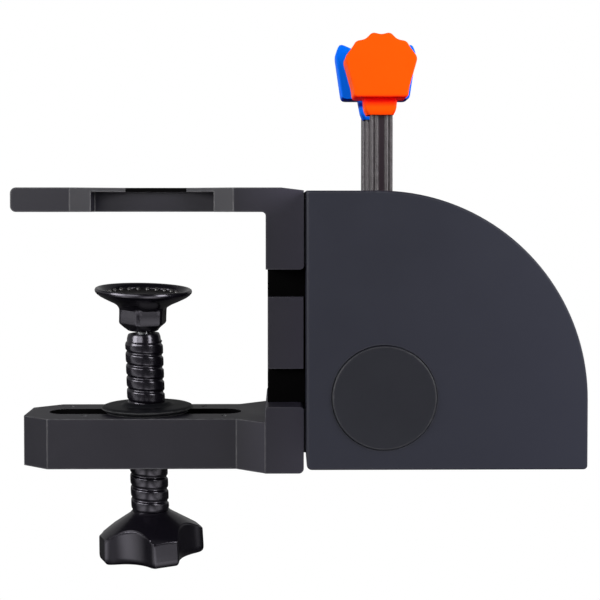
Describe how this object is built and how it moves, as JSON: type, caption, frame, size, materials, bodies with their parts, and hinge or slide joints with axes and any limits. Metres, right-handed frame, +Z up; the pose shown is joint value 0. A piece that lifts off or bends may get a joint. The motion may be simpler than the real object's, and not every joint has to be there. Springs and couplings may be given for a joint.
{
  "type": "throttle quadrant",
  "caption": "Desk-clamp throttle quadrant for flight simulation: upright levers with coloured knobs in a quarter-round housing, rocker switches on the front and a screw clamp behind.",
  "frame": {"origin": "middle of the upper jaw's underside, on the clamp screw's axis, where the desk's top face meets the clamp", "axes": "+Z up, -Z out of the jaw's underside towards the desk; +X from the jaw tips to the housing's front, towards the user; -Y is the user's left"},
  "size_m": [0.2213, 0.0938, 0.2102],
  "materials": {
    "housing_shell": "fine satin texture, charcoal black",
    "pivot_cap": "fine satin texture, charcoal black",
    "clamp_body": "fine moulded texture, charcoal black",
    "steel": "turned",
    "black_screws": "black oxide",
    "inner_plastic": "natural nylon",
    "zinc_bracket": "zinc plated",
    "board_green": "solder mask",
    "chip_black": "moulded",
    "rubber_black": "matt",
    "clamp_hardware": "glossy black",
    "stem_plastic": "satin black",
    "gear_white": "natural acetal",
    "pot_case": "moulded case",
    "knob_orange": "satin orange",
    "knob_blue": "satin blue",
    "knob_black": "satin black",
    "switch_plastic": "smooth black"
  },
  "bodies": {
    "base": {"quadrant_panel": "housing_shell", "base_frame": "housing_shell", "side_cover_left": "housing_shell", "side_cover_right": "housing_shell", "pivot_cap_left": "pivot_cap", "pivot_cap_right": "pivot_cap", "upper_jaw": "clamp_body", "lower_jaw": "clamp_body", "clamp_spine": "clamp_body", "tie_posts": "steel", "pivot_shaft": "steel", "friction_washers": "steel", "cover_screws": "black_screws", "bracket_screws": "black_screws", "board_screws": "black_screws", "spine_bolts": "black_screws", "clamp_mount_screws": "black_screws", "shaft_spacers": "inner_plastic", "board_spacers": "inner_plastic", "pot_bracket": "zinc_bracket", "pot_nuts": "zinc_bracket", "circuit_board": "board_green", "board_parts": "chip_black", "cable_grommet": "rubber_black", "slot_dust_strips": "rubber_black", "clamp_nut": "clamp_hardware", "mixture_potentiometer": "pot_case", "propeller_potentiometer": "pot_case", "throttle_potentiometer": "pot_case", "left_switch_body": "switch_plastic", "middle_switch_body": "switch_plastic", "right_switch_body": "switch_plastic"},
    "mixture_lever": {"mixture_lever_arm": "stem_plastic", "mixture_sector_gear": "gear_white", "mixture_knob": "knob_orange"},
    "mixture_pot_shaft": {"mixture_pinion": "gear_white"},
    "propeller_lever": {"propeller_lever_arm": "stem_plastic", "propeller_sector_gear": "gear_white", "propeller_knob": "knob_blue"},
    "propeller_pot_shaft": {"propeller_pinion": "gear_white"},
    "throttle_lever": {"throttle_lever_arm": "stem_plastic", "throttle_sector_gear": "gear_white", "throttle_knob": "knob_black"},
    "throttle_pot_shaft": {"throttle_pinion": "gear_white"},
    "left_rocker": {"left_rocker_cap": "switch_plastic"},
    "middle_rocker": {"middle_rocker_cap": "switch_plastic"},
    "right_rocker": {"right_rocker_cap": "switch_plastic"},
    "stud": {"ball_stud": "steel"},
    "screw": {"clamp_screw": "clamp_hardware", "star_knob": "clamp_hardware", "star_knob_plug": "clamp_hardware"},
    "liner": {"socket_liner": "inner_plastic"},
    "pad": {"pad_cup": "clamp_hardware", "pad_face": "rubber_black"}
  },
  "joints": [
    {"name": "mixture_lever_swing", "type": "hinge", "parent": "base", "child": "mixture_lever", "pos_m": [0.0936, -0.027, -0.0694], "axis": [0, 1, 0], "range_deg": [0, 70]},
    {"name": "mixture_pot_spin", "type": "hinge", "parent": "base", "child": "mixture_pot_shaft", "pos_m": [0.11785, -0.027, -0.0834], "axis": [0, 1, 0], "range_deg": [-210, 0]},
    {"name": "propeller_lever_swing", "type": "hinge", "parent": "base", "child": "propeller_lever", "pos_m": [0.0936, 0, -0.0694], "axis": [0, 1, 0], "range_deg": [0, 70]},
    {"name": "propeller_pot_spin", "type": "hinge", "parent": "base", "child": "propeller_pot_shaft", "pos_m": [0.11785, 0, -0.0834], "axis": [0, 1, 0], "range_deg": [-210, 0]},
    {"name": "throttle_lever_swing", "type": "hinge", "parent": "base", "child": "throttle_lever", "pos_m": [0.0936, 0.027, -0.0694], "axis": [0, 1, 0], "range_deg": [0, 70]},
    {"name": "throttle_pot_spin", "type": "hinge", "parent": "base", "child": "throttle_pot_shaft", "pos_m": [0.11785, 0.027, -0.0834], "axis": [0, 1, 0], "range_deg": [-210, 0]},
    {"name": "left_rocker_tilt", "type": "hinge", "parent": "base", "child": "left_rocker", "pos_m": [0.1665, -0.027, -0.0835], "axis": [0, 1, 0], "range_deg": [-8, 8], "stiffness_Nm_per_rad": 0.2},
    {"name": "middle_rocker_tilt", "type": "hinge", "parent": "base", "child": "middle_rocker", "pos_m": [0.1665, 0, -0.0835], "axis": [0, 1, 0], "range_deg": [-8, 8], "stiffness_Nm_per_rad": 0.2},
    {"name": "right_rocker_tilt", "type": "hinge", "parent": "base", "child": "right_rocker", "pos_m": [0.1665, 0.027, -0.0835], "axis": [0, 1, 0], "range_deg": [-8, 8], "stiffness_Nm_per_rad": 0.2},
    {"name": "screw_lift", "type": "slide", "parent": "base", "child": "stud", "axis": [-0.0349, 0, 0.9994], "range_m": [-0.028, 0.0175]},
    {"name": "screw_turn", "type": "hinge", "parent": "stud", "child": "screw", "pos_m": [0, 0, -0.092], "axis": [-0.0349, 0, 0.9994], "range_deg": [-1260, 2016]},
    {"name": "pad_tilt_sideways", "type": "hinge", "parent": "stud", "child": "liner", "pos_m": [-0.00173, 0, -0.04253], "axis": [1, 0, 0], "range_deg": [-10, 4]},
    {"name": "pad_tilt_lengthways", "type": "hinge", "parent": "liner", "child": "pad", "pos_m": [-0.00173, 0, -0.04253], "axis": [0, 1, 0], "range_deg": [-10.9, 3.1]}
  ],
  "couplings": [
    {"joint": "mixture_pot_spin", "follows": "mixture_lever_swing", "ratio": -3},
    {"joint": "propeller_pot_spin", "follows": "propeller_lever_swing", "ratio": -3},
    {"joint": "throttle_pot_spin", "follows": "throttle_lever_swing", "ratio": -3},
    {"joint": "screw_lift", "follows": "screw_turn", "m_per_rad": -0.00079577}
  ]
}
